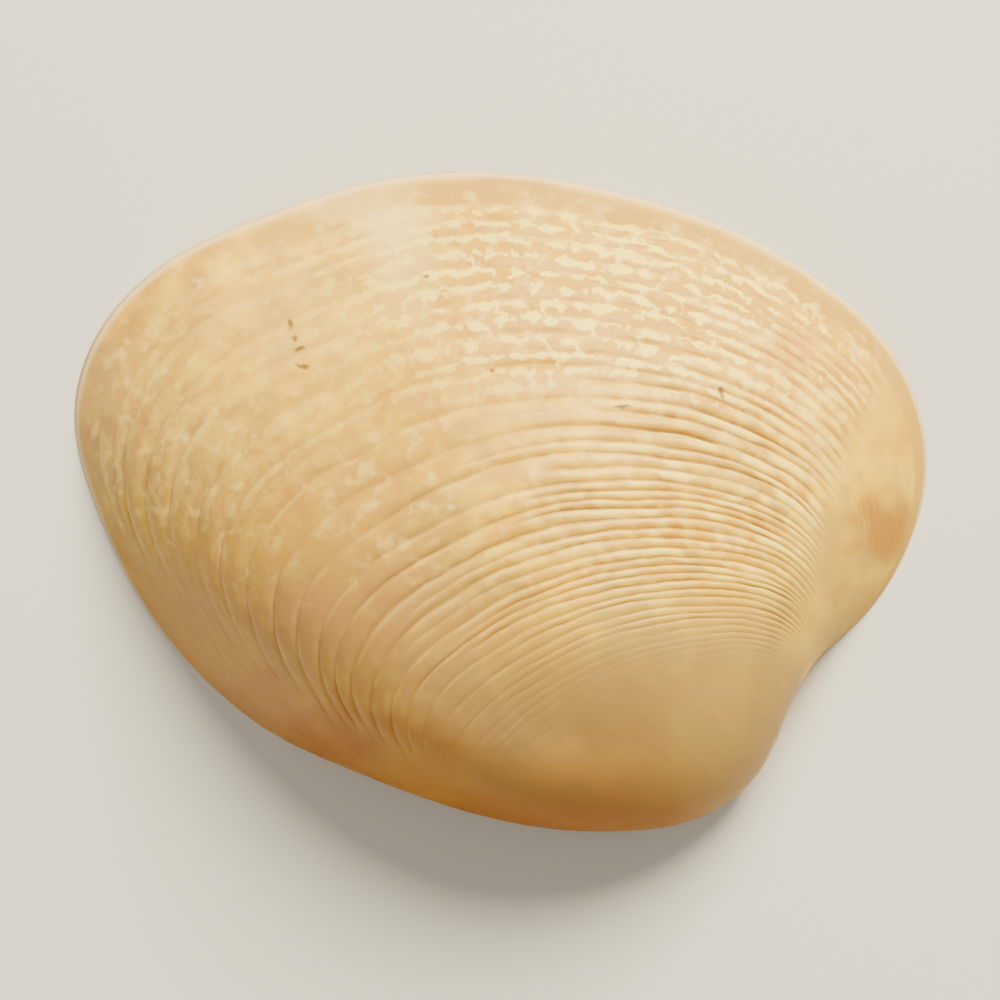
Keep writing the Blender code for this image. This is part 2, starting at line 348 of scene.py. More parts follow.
def run_out(places, sizes, ridge_numbers):
    """How much is left of each point's nearest groove. Every second one runs out towards the hind end."""
    random = np.random.default_rng(SEED + 1)
    shifts = random.uniform(-RUN_OUT_SPREAD_MM, RUN_OUT_SPREAD_MM, MOST_GROOVES)
    nearest = np.clip(np.round(ridge_numbers).astype(int), 0, MOST_GROOVES - 1)
    behind = behind_line(places) + shifts[nearest]
    gone = smoothstep(0.0, RUN_OUT_LENGTH_MM, behind) * (nearest % 2)
    return 1 - gone * smoothstep(*RUN_OUT_AGES[::-1], sizes)


def worn_away(places, from_edge):
    """How much of the ridges is left, from 0 to 1, at points in mm."""
    left = np.ones(places.shape[:-1])
    for x, y, radius_x, radius_y, gone in WORN_MM:
        far = ((places[..., 0] - x) / radius_x) ** 2 + ((places[..., 1] - y) / radius_y) ** 2
        left *= 1 - gone * np.exp(-far)
    x, y = places[..., 0], places[..., 1]
    ragged = WEAR_RAGGED_MM * noise_grid(x / WEAR_RAGGED_LENGTH_MM, y / WEAR_RAGGED_LENGTH_MM, 3.0)
    front = x - np.interp(y, FRONT_LINE_Y_MM, FRONT_LINE_X_MM) + ragged
    left *= 1 - FRONT_SMOOTHED * smoothstep(-FRONT_LINE_WIDTH_MM, FRONT_LINE_WIDTH_MM, front)
    from_edge = (from_edge + ragged) / np.interp(x, LOWER_EDGE_X_MM, LOWER_EDGE_SCALES)
    lower = smoothstep(*LOWER_EDGE_Y_MM, y) * smoothstep(*LOWER_EDGE_MM[::-1], from_edge)
    return left * (1 - LOWER_EDGE_SMOOTHED * lower)


def groove_sizes():
    """The sizes of the grooves, from the margin inwards."""
    random = np.random.default_rng(SEED)
    sizes = [FIRST_GROOVE]
    while sizes[-1] > LAST_GROOVE:
        step = np.interp(sizes[-1], STEP_AGES, STEPS)
        sizes.append(sizes[-1] - step * (1 + STEP_JITTER * random.uniform(-1, 1)))
    return np.array(sizes)


def varied(ring, number, middle, *noises):
    """A value along one groove's course: a middle one, and noises that change from groove to groove."""
    value = middle
    for share, length, step, start in noises:
        value = value + share * noise_round(ring, length, number * step + start)
    return value


def groove_strength(ring, number, age):
    """How strong one groove is along its course: nearly whole on the shell's middle, broken outside it."""
    whole = varied(ring, number, *WHOLE_GROOVES)
    broken = varied(ring, number, *BROKEN_GROOVES)
    outer = smoothstep(*BROKEN_AGES, age)
    return np.clip(whole * (1 - outer) + broken * outer, 0, STRONGEST_GROOVE)


def groove_wander(ring, number, step):
    """How far one groove strays from its growth line along its course, in size."""
    slow = GROOVE_WANDER * noise_round(ring, WANDER_LENGTH_MM, number / WANDER_GROOVES)
    # Both are read from the same noise, so the second one's levels lie between the grooves' numbers.
    quick = SHORT_WANDER * noise_round(ring, SHORT_WANDER_LENGTH_MM, number + 0.5)
    return step * (slow + quick)


def growth_rows(ring):
    """The rows from the margin to the beak, as three grids: size, ridge number and share of a full groove."""
    grooves = groove_sizes()
    steps = -np.diff(grooves)
    rows = []
    # The margin's own band, outside the first groove.
    for share in np.linspace(0, 1, MARGIN_ROWS, endpoint=False):
        rows.append((1.0 + (FIRST_GROOVE - 1.0) * share, share - 1.0, 0.0))
    wanders = [groove_wander(ring, i, step) for i, step in enumerate(np.append(steps, steps[-1]))]
    strengths = [groove_strength(ring, i, age) for i, age in enumerate(grooves)]
    for i, step in enumerate(steps):
        narrower = min(1.0, REFERENCE_STEP / step)
        for share, depth in RIDGE_ROWS:
            share = share * narrower if share < 0.5 else 1 - (1 - share) * narrower
            strays = wanders[i] * (1 - share) + wanders[i + 1] * share
            near = strengths[i] if share < 0.5 else strengths[i + 1]
            rows.append((grooves[i] - step * share + strays, i + share, depth * near))
    last = rows[-1][0]
    for share in np.linspace(0, 1, UMBO_ROWS + 1)[1:]:
        rows.append((last * (1 - share) + SMALLEST_LINE * share, len(steps) + share * UMBO_RIDGES, 0.0))
    return [np.array([np.broadcast_to(row[field], COLUMNS) for row in rows]) for field in range(3)]


def groove_depths_mm(places, sizes, ring):
    """How deep a whole groove is at each point: by its age, and no deeper than the ridge's width allows."""
    step_here = np.interp(sizes, STEP_AGES, STEPS)
    row_gaps = np.linalg.norm(np.gradient(places, axis=0), axis=2)
    width = row_gaps / np.maximum(np.abs(np.gradient(sizes, axis=0)), LEAST_SIZE_STEP)
    ages = sizes + DEPTH_AGE_WANDER * noise_round(ring, DEPTH_AGE_WANDER_LENGTH_MM, 40.5)
    by_age = np.interp(ages, GROOVE_DEPTH_AGES, GROOVE_DEPTHS_MM)
    return np.minimum(by_age, GROOVE_DEPTH_TO_WIDTH * width * step_here)


def outside(margin, ring):
    """The outer grid in mm, and five fields of it that the colours need.

    They are the size, the ridge number, the share of the deepest groove, how much wear has left of the
    ridges, and the distance inside the margin in mm.
    """
    sizes, ridge_numbers, depths = growth_rows(ring)
    places = spiral(sizes, margin)
    normals = grid_normals(places)
    depth_mm = groove_depths_mm(places, sizes, ring)
    from_edge = depth_inside(places[..., :2].reshape(-1, 2), MARGIN_MM).reshape(sizes.shape)
    worn = worn_away(places, from_edge)
    hind = smoothstep(-RUN_OUT_SPREAD_MM, RUN_OUT_SPREAD_MM, behind_line(places))
    depths = depths * worn * run_out(places, sizes, ridge_numbers) * (1 - HIND_SHALLOWER * hind)
    relief = -depths * depth_mm
    # The bands are lowest at the grooves with even numbers, which are the ones that don't run out.
    bands = hind * smoothstep(*RUN_OUT_AGES[::-1], sizes) * (0.5 + 0.5 * np.cos(pi * ridge_numbers)) ** 2
    relief -= BAND_DEPTH_MM * bands * np.clip(worn, 0, 1) * smoothstep(*BAND_AGES, sizes)
    free = smoothstep(*FREE_AGES, sizes)
    for height, length in ((UNDULATION_MM, UNDULATION_LENGTH_MM), (GRAIN_MM, GRAIN_LENGTH_MM)):
        x, y, z = np.moveaxis(places / length, 2, 0)
        relief += free * height * noise_grid(x, y, z)
    chips = noise_grid(ring[:, 0] / CHIP_LENGTH_MM, ring[:, 1] / CHIP_LENGTH_MM, ridge_numbers * CHIPS_ACROSS)
    clear = 1 - CHIPS_LOST_TO_GROOVES * np.clip(depths, 0, 1)
    relief += np.interp(sizes, CHIP_AGES, CHIPS_MM) * smoothstep(*CHIP_LEVELS, chips) * clear
    places = places + normals * relief[..., None]
    places[..., 2] = np.maximum(places[..., 2], 0.0)
    return places, sizes, ridge_numbers, depths * depth_mm / DEEPEST_GROOVE_MM, worn, from_edge


def distance_to_path(points, path):
    """The distance from each point to a path of straight runs, in mm."""
    nearest = np.full(len(points), np.inf)
    for start, end in zip(path, path[1:]):
        run = end - start
        share = np.clip(((points - start) @ run) / (run @ run), 0, 1)
        nearest = np.minimum(nearest, np.linalg.norm(points - start - share[:, None] * run, axis=1))
    return nearest


def depth_inside(points, outline_mm):
    """How far each point is inside an outline, in mm, negative outside it."""
    loop = dense_loop(outline_mm)[::COARSE_LOOP_STRIDE]
    nearest = distance_to_path(points, loop)
    crossings = np.zeros(len(points), int)
    for (x0, y0), (x1, y1) in zip(loop, loop[1:]):
        if y0 == y1:
            continue
        spans = (points[:, 1] < max(y0, y1)) & (points[:, 1] >= min(y0, y1))
        at = x0 + (points[:, 1] - y0) * (x1 - x0) / (y1 - y0)
        crossings += spans & (points[:, 0] < at)
    return np.where(crossings % 2 == 1, nearest, -nearest)


def roof_tree(margin):
    """The smooth outside, to measure the hollow's roof from. Its lines are closer together by the beak."""
    sizes = np.concatenate([np.linspace(*EVEN_ROOF_AGES), np.geomspace(*BEAK_ROOF_AGES)])
    places = spiral(np.repeat(sizes[:, None], COLUMNS, axis=1), margin)
    points = [tuple(place) for place in places.reshape(-1, 3)]
    return BVHTree.FromPolygons(points, grid_faces(len(sizes), 0))


def grid_faces(rows, first):
    """The four-sided faces of a grid of rings whose first point has the given number."""
    faces = []
    for row in range(rows - 1):
        here = first + row * COLUMNS
        for column in range(COLUMNS):
            beside = (column + 1) % COLUMNS
            faces.append((here + column, here + beside, here + COLUMNS + beside, here + COLUMNS + column))
    return faces


def roof_heights(points, margin):
    """Where the smooth outside is above each point, in mm, and how flat it is there: 1 where it is level."""
    tree = roof_tree(margin)
    height = np.zeros(len(points))
    flatness = np.ones(len(points))
    for i, (x, y) in enumerate(points):
        place, normal, _, _ = tree.ray_cast(Vector((x, y, ABOVE_VALVE_MM)), Vector((0, 0, -1)))
        if place is not None:
            height[i] = place.z
            flatness[i] = max(abs(normal.z), LEAST_FLATNESS)
    return height, flatness


def inside(margin):
    """The inner grid, from the rim to the middle: its points in mm, and their share of a scar or line."""
    towards = np.array(HOLLOW_CENTRE_MM) - margin
    start = EDGE_ROUNDING_MM / np.linalg.norm(towards, axis=1)
    ring_shares = np.linspace(0, 1, INNER_RINGS + 1)[:-1] ** INNER_RING_BIAS
    ways = [start + (1 - start) * share * INNER_REACH for share in ring_shares]
    points = np.array([margin + towards * way[:, None] for way in ways]).reshape(-1, 2)
    height, flatness = roof_heights(points, margin)
    deep = depth_inside(points, MOUTH_MM)
    share = np.clip(deep / SHOULDER_MM, 0, 1)
    wall = RIM_WALL_MM + (WALL_MM - RIM_WALL_MM) * share
    roof = np.maximum(height - wall / flatness, 0.0) * np.sin(share * pi / 2) ** SHOULDER_POWER
    roof = np.where(deep > 0, np.maximum(roof, RIM_STEP_MM * smoothstep(0, RIM_STEP_WIDTH_MM, deep)), 0.0)
    plate = HINGE_RECESS_DEPTH_MM * smoothstep(*RECESS_EDGE_MM, depth_inside(points, HINGE_RECESS_MM))
    level = np.maximum(roof, plate)
    foot, crest = TOOTH_SLOPE
    for near_end, far_end, width, top in TEETH_MM:
        away = distance_to_path(points, np.array([near_end, far_end]))
        raised = smoothstep(width * foot, width * crest, away)
        level = np.where(level > top, level + (top - level) * raised, level)
    scar = np.zeros(len(points))
    for scar_place in SCARS_MM:
        scar = np.maximum(scar, spot(points[:, 0], points[:, 1], *scar_place, SCAR_SOFTNESS))
    line = smoothstep(PALLIAL_WIDTH_MM, 0.0, distance_to_path(points, np.array(PALLIAL_LINE_MM)))
    marked = deep > MARKS_FROM_MM
    level = level + SCAR_DEPTH_MM * scar * marked + PALLIAL_DEPTH_MM * line * marked
    wave = points / WAVE_LENGTH_MM
    level = level + WAVE_MM * smoothstep(*WAVE_FROM_MM, deep) * noise_grid(wave[:, 0], wave[:, 1], 2.0)
    grid = np.column_stack([points, level]).reshape(INNER_RINGS, COLUMNS, 3)
    return grid, np.maximum(scar, PALLIAL_MARK * line).reshape(INNER_RINGS, COLUMNS)


def linear(red, green, blue):
    """A colour given from 0 to 255 on a screen, as a linear colour."""
    values = []
    for level in (red, green, blue):
        share = level / 255
        values.append(share / 12.92 if share <= 0.04045 else ((share + 0.055) / 1.055) ** 2.4)
    return tuple(values)


TAN = linear(224, 171, 36)
CREAM = linear(243, 199, 54)
DEEP_TAN = linear(206, 148, 34)
FLECKED_TAN = linear(206, 152, 30)
BAND_TAN = linear(192, 148, 58)
STROKE_TAN = linear(178, 130, 52)
GREY_TAN = linear(196, 158, 66)
# Painted shade for the grooves, which are darkened by their depth.
GROOVE_SHADE_BROWN = linear(158, 130, 78)
# The fleck colour also paints the highlight dashes on the ridge tops.
FLECK_AND_DASH_HIGHLIGHT = linear(255, 228, 100)
# The speck colour also paints the highlights along the ridges' lips.
SPECK_AND_LIP_HIGHLIGHT = linear(255, 220, 122)
RAY = linear(255, 228, 146)
UMBO_TAN = linear(166, 128, 74)
# The orange of the hinge side, which deepens into painted shade at the lower edge.
UMBO_ORANGE_AND_SHADE = linear(154, 90, 6)
EDGE_WHITE = linear(252, 224, 186)
DARK_PIT = linear(96, 68, 32)
# Clouds of colour all over the outside, from first to last: the colour, its strength, the levels of the noise
# between which it comes in, the noise's length in mm and its shift.
CLOUDS = (
    (CREAM, 1.0, (-0.8, 0.9), 6.0, 0.0),
    (DEEP_TAN, 0.7, (0.2, 1.6), 4.0, 31.0),
    (GREY_TAN, 0.75, (0.0, 1.6), 3.0, 70.0),
)
# Tints on the ridges, each with its strength and levels: a slow shade of each ridge's own, fine mottling both
# ways, and short dark strokes. The noises have a length along the ridges and a step from ridge to ridge.
RIDGED_AGES = (0.40, 0.55)
RIDGE_SHADE = (DEEP_TAN, 0.4, (0.0, 2.0))
RIDGE_SHADE_LENGTH_MM = 11.0
RIDGE_MOTTLES = ((CREAM, 0.70, (0.1, 1.2)), (DEEP_TAN, 0.55, (-0.2, -1.3)))
RIDGE_MOTTLE_LENGTH_MM = 1.5
RIDGE_STEP = 0.9
STROKES = (STROKE_TAN, 0.7, (0.3, 1.5))
STROKE_LENGTH_MM = 1.9
STROKE_SHIFT = 50.0
STROKE_STEP = 1.1
STROKE_AGES = (0.66, 0.80)
# The same for the mottling where the shell is worn smooth.
SMOOTH_MOTTLE = (CREAM, 0.4, (0.2, 1.6))
SMOOTH_MOTTLE_LENGTH_MM = 1.8
SMOOTH_MOTTLE_SHIFT = 20.0
SMOOTH_MOTTLE_AGES = (0.50, 0.60)
UMBO_TAN_STRENGTH = 0.8
UMBO_TAN_AGES = (0.50, 0.37)
FLECKED_TAN_STRENGTH = 0.75
BAND_TAN_STRENGTH = 0.85
BAND_TAN_AGES = (0.945, 0.965)
EDGE_WHITE_STRENGTH = 0.65
EDGE_WHITE_AGES = (0.988, 0.996)
# A plain orange spot by the upper front margin, nearly without flecks: x and y of its middle and two radii.
PLAIN_SPOT_MM = (15.3, 7.9, 1.7, 1.3)
PLAIN_SPOT_SOFTNESS = 0.4
PLAIN_SPOT_CLEARED = 0.8
# Patches of colour seen on the outside, with three lighter ones of painted light on the umbo's lower side: x
# and y of the middle and the two radii, in mm, strength and colour.
PATCHES_MM = (
    (-2.4, 16.1, 2.8, 1.2, 0.95, linear(212, 144, 34)),
    (-11.2, 14.4, 1.8, 1.0, 0.8, linear(208, 158, 54)),
    (-8.6, 15.6, 2.6, 1.0, 0.6, linear(246, 208, 132)),
    (-21.2, 3.5, 1.8, 4.0, 0.45, linear(204, 170, 116)),
    (*PLAIN_SPOT_MM, 0.85, linear(212, 142, 44)),
    (17.6, -4.6, 4.0, 4.0, 0.5, linear(186, 144, 62)),
    (20.2, -1.4, 1.9, 1.6, 1.0, linear(178, 122, 28)),
    (-5.6, 14.2, 1.8, 2.6, 0.75, RAY),
    (-4.4, 11.8, 1.2, 2.6, 0.55, RAY),
    (1.8, 15.2, 0.7, 1.6, 0.4, RAY),
    (-8.9, -12.0, 2.8, 1.9, 0.8, linear(164, 86, 34)),
    (-12.6, -10.8, 2.8, 1.8, 0.6, linear(178, 114, 70)),
    (-16.6, -8.0, 3.6, 5.0, 0.45, linear(200, 142, 92)),
    (-10.0, 10.0, 6.0, 4.0, 0.2, linear(238, 194, 108)),
    (-9.0, -2.5, 8.0, 7.0, 0.6, linear(176, 130, 58)),
    (-19.0, 1.0, 5.0, 9.0, 0.6, linear(184, 138, 74)),
    (-5.0, -7.0, 6.5, 4.2, 0.6, linear(170, 124, 72)),
    # Painted light: this patch and the next are lighter to lift the shade band where the key light's edge
    # crosses the umbo's lower side.
    (-4.6, -11.5, 3.2, 1.4, 0.35, linear(212, 162, 90)),
    (-0.6, -12.8, 3.6, 1.4, 0.30, linear(212, 162, 84)),
    (3.4, -10.4, 6.0, 2.6, 0.40, linear(146, 112, 64)),
    # Painted light: lighter, to lift the shade on the umbo's lower side.
    (4.4, -13.9, 3.6, 1.3, 0.45, linear(206, 150, 66)),
    (-14.5, -8.0, 6.0, 4.4, 0.5, linear(182, 130, 84)),
    (-5.4, -13.4, 4.5, 2.2, 0.6, linear(158, 98, 36)),
)
PATCH_SOFTNESS = 0.5
PATCH_RAGGED_MM = 0.9
PATCH_RAGGED_LENGTH_MM = 1.1
# The orange of the hinge side, partly the shell's own and partly painted shade where the lower edge turns away
# from the key light, deepens outwards between these two distances inside the margin, of which the second is on
# the umbo, outside it. It comes in between these two y, and its strength varies along the edge.
ORANGE_DEPTHS_MM = (2.6, -2.6)
ORANGE_Y_MM = (-8.5, -11.5)
ORANGE_X_MM = (-13.0, -7.0, -2.0, 1.0, 8.5, 13.5)
ORANGE_STRENGTHS = (0.3, 0.85, 1.0, 0.95, 0.85, 0.1)
# The heart of the flecked zone, and the part of the middle with painted highlight dashes on its ridge tops and
# darker painted shade in its grooves: x and y of the middle and the two radii, in mm.
FLECKED_MM = (6.0, 10.0, 13.5, 6.8)
FLECKED_SOFTNESS = 0.55
FLECKED_AGES = ((0.66, 0.77), (0.94, 0.975))
FLECKS_ANYWHERE = 0.18
FLECKS_AT_HEART = 0.80
FLECKS_LEFT_BY_WEAR = 0.1
DASH_HIGHLIGHT_MM = (11.4, -0.2, 7.2, 6.2)
DASH_HIGHLIGHT_SOFTNESS = 0.5
# Fine specks: their strength, the ages that have them, and the two y between which they come in.
SPECKLES = 0.46
SPECKLED_AGES = ((0.45, 0.62), (0.96, 0.99))
SPECKLED_Y_MM = (-9.0, -2.0)
# Painted highlights along the ridges, broken here and there: thin lines where the ridges' lips catch the key
# light, and dashes where it glints on flat tops. Each has its place across a ridge, as shares of the way to
# the next groove, and its noise, with levels, length in mm, and step and start from ridge to ridge. The lip
# highlights fade behind the run-out line, between these distances from it.
LIP_HIGHLIGHTS = (((0.04, 0.16), (0.24, 0.48)), (-0.8, 1.2), 3.8, 1.7, 0.0)
LIP_HIGHLIGHT_STRENGTH = 0.42
LIP_HIGHLIGHT_HIND_FADE = 0.25
LIP_HIGHLIGHT_HIND_FADE_MM = (-1.0, 4.0)
DASH_HIGHLIGHTS = (((0.08, 0.2), (0.7, 0.92)), (0.0, 1.3), 3.2, 2.3, 40.0)
DASH_HIGHLIGHT_STRENGTH = 0.8
# The painted shade in the grooves: how strongly they are darkened by their depth, and how strongly in the
# middle.
GROOVE_PAINTED_SHADE = 0.5
CRISP_GROOVE_PAINTED_SHADE = 0.6
# How much rougher than the rest the grooves with painted shade and the orange are.
GROOVE_ROUGHER = 0.12
ORANGE_ROUGHER = 0.25
# The plain tan band along the margin fades in between these two x.
BAND_X_MM = (-12.0, -1.0)
# Small dark pits and slits: x, y, radius along x, radius along y, in mm.
PITS_MM = (
    (-11.0, 9.2, 0.17, 0.27), (-10.7, 8.5, 0.13, 0.16), (-10.45, 7.9, 0.23, 0.14), (-10.3, 7.0, 0.32, 0.10),
    (-3.9, 11.7, 0.16, 0.12), (-0.5, 6.7, 0.12, 0.12), (6.4, 4.8, 0.42, 0.12), (11.6, 5.6, 0.14, 0.30),
)
INSIDE_WHITE = linear(246, 230, 196)
INSIDE_CREAM = linear(240, 212, 156)
INSIDE_DEEP = linear(232, 186, 116)
INSIDE_SCAR = linear(222, 200, 160)
INSIDE_CREAM_LEVELS = (-0.7, 1.2)
INSIDE_CREAM_LENGTH_MM = 9.0
INSIDE_SHIFT = 5.0
INSIDE_DEEP_STRENGTH = 0.55
INSIDE_DEEP_MM = (5.5, 9.5)
INSIDE_SCAR_STRENGTH = 0.4


def along_ridges(ring, levels, length, shift=0.0, octaves=3):
    """Clouds that are drawn out along the ridges. levels has each point's place from ridge to ridge."""
    return clouds(ring[:, 0] / length + shift, ring[:, 1] / length, levels, octaves)


def cloud_tint(tint, cloud, where, colour, share, levels):
    """Colours with another one laid over them where a cloud is thick, times the given share and place."""
    return blend(tint, colour, share * where * smoothstep(*levels, cloud))


def broken_lines(ring, ridge_numbers, place_across, levels, length, step, start):
    """1 on lines along the ridges that are broken here and there, and 0 between them."""
    ridge = np.floor(ridge_numbers)
    gaps = along_ridges(ring, ridge * step + start, length, octaves=2)
    return stretch(place_across, ridge_numbers - ridge) * smoothstep(*levels, gaps)


def mottled_tint(places, sizes, ridge_numbers, ring, worn):
    """The shell's own shades, before the patches and the fine lines."""
    x, y, z = np.moveaxis(places, 2, 0)
    tint = np.broadcast_to(np.array(TAN), places.shape)
    for colour, share, levels, length, shift in CLOUDS:
        cloud = clouds(x / length + shift, y / length, z / length)
        tint = cloud_tint(tint, cloud, 1.0, colour, share, levels)
    ridged = smoothstep(*RIDGED_AGES, sizes) * np.clip(worn, 0, 1)
    shade = along_ridges(ring, ridge_numbers * RIDGE_STEP, RIDGE_SHADE_LENGTH_MM, octaves=1)
    tint = cloud_tint(tint, shade, ridged, *RIDGE_SHADE)
    soft_x, soft_y, soft_z = (axis / SMOOTH_MOTTLE_LENGTH_MM for axis in (x, y, z))
    smooth = (1 - ridged) * smoothstep(*SMOOTH_MOTTLE_AGES, sizes)
    tint = cloud_tint(tint, clouds(soft_x, soft_y, soft_z + SMOOTH_MOTTLE_SHIFT), smooth, *SMOOTH_MOTTLE)
    mottle = along_ridges(ring, ridge_numbers * RIDGE_STEP, RIDGE_MOTTLE_LENGTH_MM)
    for ridge_mottle in RIDGE_MOTTLES:
        tint = cloud_tint(tint, mottle, ridged, *ridge_mottle)
    strokes = along_ridges(ring, ridge_numbers * STROKE_STEP, STROKE_LENGTH_MM, STROKE_SHIFT)
    tint = cloud_tint(tint, strokes, ridged * smoothstep(*STROKE_AGES, sizes), *STROKES)
    return blend(tint, UMBO_TAN, UMBO_TAN_STRENGTH * smoothstep(*UMBO_TAN_AGES, sizes))


def patched_tint(tint, x, y):
    """Colours with the patches laid over them."""
    flat_x, flat_y = x / PATCH_RAGGED_LENGTH_MM, y / PATCH_RAGGED_LENGTH_MM
    ragged_x = x + PATCH_RAGGED_MM * noise_grid(flat_x, flat_y, 4.0)
    ragged_y = y + PATCH_RAGGED_MM * noise_grid(flat_x, flat_y, 9.0)
    for middle_x, middle_y, radius_x, radius_y, share, patch in PATCHES_MM:
        mask = spot(ragged_x, ragged_y, middle_x, middle_y, radius_x, radius_y, PATCH_SOFTNESS)
        tint = blend(tint, patch, share * mask)
    return tint


def tint_outside(places, sizes, ridge_numbers, ring, grooves, worn, from_edge):
    """The colour of each point of the outside, with its painted highlights and shade, but for its fine flecks.
    """
    x, y, _ = np.moveaxis(places, 2, 0)
    tint = patched_tint(mottled_tint(places, sizes, ridge_numbers, ring, worn), x, y)
    # The orange deepens towards the lower hinge edge: partly the shell's own orange, partly painted shade.
    tint = blend(tint, UMBO_ORANGE_AND_SHADE, orange_and_shade_share(x, y, from_edge))
    heart = spot(x, y, *FLECKED_MM, FLECKED_SOFTNESS)
    tint = blend(tint, FLECKED_TAN, FLECKED_TAN_STRENGTH * stretch(FLECKED_AGES, sizes) * heart)
    band = smoothstep(*BAND_TAN_AGES, sizes) * smoothstep(*BAND_X_MM, x)
    tint = blend(tint, BAND_TAN, BAND_TAN_STRENGTH * band)
    ridged = smoothstep(*RIDGED_AGES, sizes) * np.clip(worn, 0, 1)
    # Painted highlights: thin light lines where the ridges' lips catch the key light.
    lip_highlights = broken_lines(ring, ridge_numbers, *LIP_HIGHLIGHTS) * run_out(places, sizes, ridge_numbers)
    lip_highlights *= 1 - LIP_HIGHLIGHT_HIND_FADE * smoothstep(*LIP_HIGHLIGHT_HIND_FADE_MM, behind_line(places))
    tint = blend(tint, SPECK_AND_LIP_HIGHLIGHT, LIP_HIGHLIGHT_STRENGTH * lip_highlights * ridged)
    # Painted highlights: cream dashes where the key light glints on the flat ridge tops of the middle.
    dash_highlight_zone = spot(x, y, *DASH_HIGHLIGHT_MM, DASH_HIGHLIGHT_SOFTNESS)
    tint = blend(tint, FLECK_AND_DASH_HIGHLIGHT, DASH_HIGHLIGHT_STRENGTH * broken_lines(ring, ridge_numbers, *DASH_HIGHLIGHTS) * ridged * dash_highlight_zone)
    # Painted shade: each groove is darkened by its depth, more in the middle.
    groove_shade = GROOVE_PAINTED_SHADE + (CRISP_GROOVE_PAINTED_SHADE - GROOVE_PAINTED_SHADE) * dash_highlight_zone
    tint = blend(tint, GROOVE_SHADE_BROWN, np.clip(groove_shade * grooves, 0, 1))
    return blend(tint, EDGE_WHITE, EDGE_WHITE_STRENGTH * smoothstep(*EDGE_WHITE_AGES, sizes))


def orange_and_shade_share(x, y, from_edge):
    """How much of the hinge side's orange, partly painted shade, each point of the outside has."""
    along = np.interp(x, ORANGE_X_MM, ORANGE_STRENGTHS)
    return along * smoothstep(*ORANGE_DEPTHS_MM, from_edge) * smoothstep(*ORANGE_Y_MM, y)


def tint_inside(places, marks):
    """The colour of each point of the rim and the inside."""
    x, y, z = np.moveaxis(places, 2, 0)
    flat_x, flat_y, flat_z = (axis / INSIDE_CREAM_LENGTH_MM for axis in (x, y, z))
    tint = np.broadcast_to(np.array(INSIDE_WHITE), places.shape)
    cloud = clouds(flat_x, flat_y, flat_z + INSIDE_SHIFT)
    tint = blend(tint, INSIDE_CREAM, smoothstep(*INSIDE_CREAM_LEVELS, cloud))
    tint = blend(tint, INSIDE_DEEP, INSIDE_DEEP_STRENGTH * smoothstep(*INSIDE_DEEP_MM, z))
    return blend(tint, INSIDE_SCAR, INSIDE_SCAR_STRENGTH * marks)


def valve_faces(rows):
    """The faces of the outside, and then those of the first cap, the rim, the hollow and the second cap."""
    first_inner = rows * COLUMNS
    outer_faces = [face[::-1] for face in grid_faces(rows, 0)]
    tip = tuple(range((rows - 1) * COLUMNS, rows * COLUMNS))
    rim_faces = [
        (c, (c + 1) % COLUMNS, first_inner + (c + 1) % COLUMNS, first_inner + c) for c in range(COLUMNS)
    ]
    inner_faces = grid_faces(INNER_RINGS, first_inner)
    middle = tuple(range(first_inner + (INNER_RINGS - 1) * COLUMNS, first_inner + INNER_RINGS * COLUMNS))
    return outer_faces, [tip[::-1]] + rim_faces + inner_faces + [middle]


def add_field(mesh, name, kind, key, values):
    """A value for each of the mesh's points, which the materials read."""
    mesh.attributes.new(name, kind, "POINT").data.foreach_set(key, values.astype(np.float32).ravel())


def fleck_fields(x, y, sizes, grooves, worn, from_edge):
    """How much each point of the outside has of flecks, of specks and of added roughness."""
    left = np.clip(worn, 0, 1)
    heart = spot(x, y, *FLECKED_MM, FLECKED_SOFTNESS)
    flecked = stretch(FLECKED_AGES, sizes) * (FLECKS_ANYWHERE + FLECKS_AT_HEART * heart)
    flecked *= FLECKS_LEFT_BY_WEAR + (1 - FLECKS_LEFT_BY_WEAR) * left
    flecked *= 1 - PLAIN_SPOT_CLEARED * spot(x, y, *PLAIN_SPOT_MM, PLAIN_SPOT_SOFTNESS)
    speckled = SPECKLES * stretch(SPECKLED_AGES, sizes) * smoothstep(*SPECKLED_Y_MM, y) * left
    dull = GROOVE_ROUGHER * np.clip(grooves, 0, 1) + ORANGE_ROUGHER * orange_and_shade_share(x, y, from_edge)
    return {"flecked": flecked, "speckled": speckled, "dull": dull}


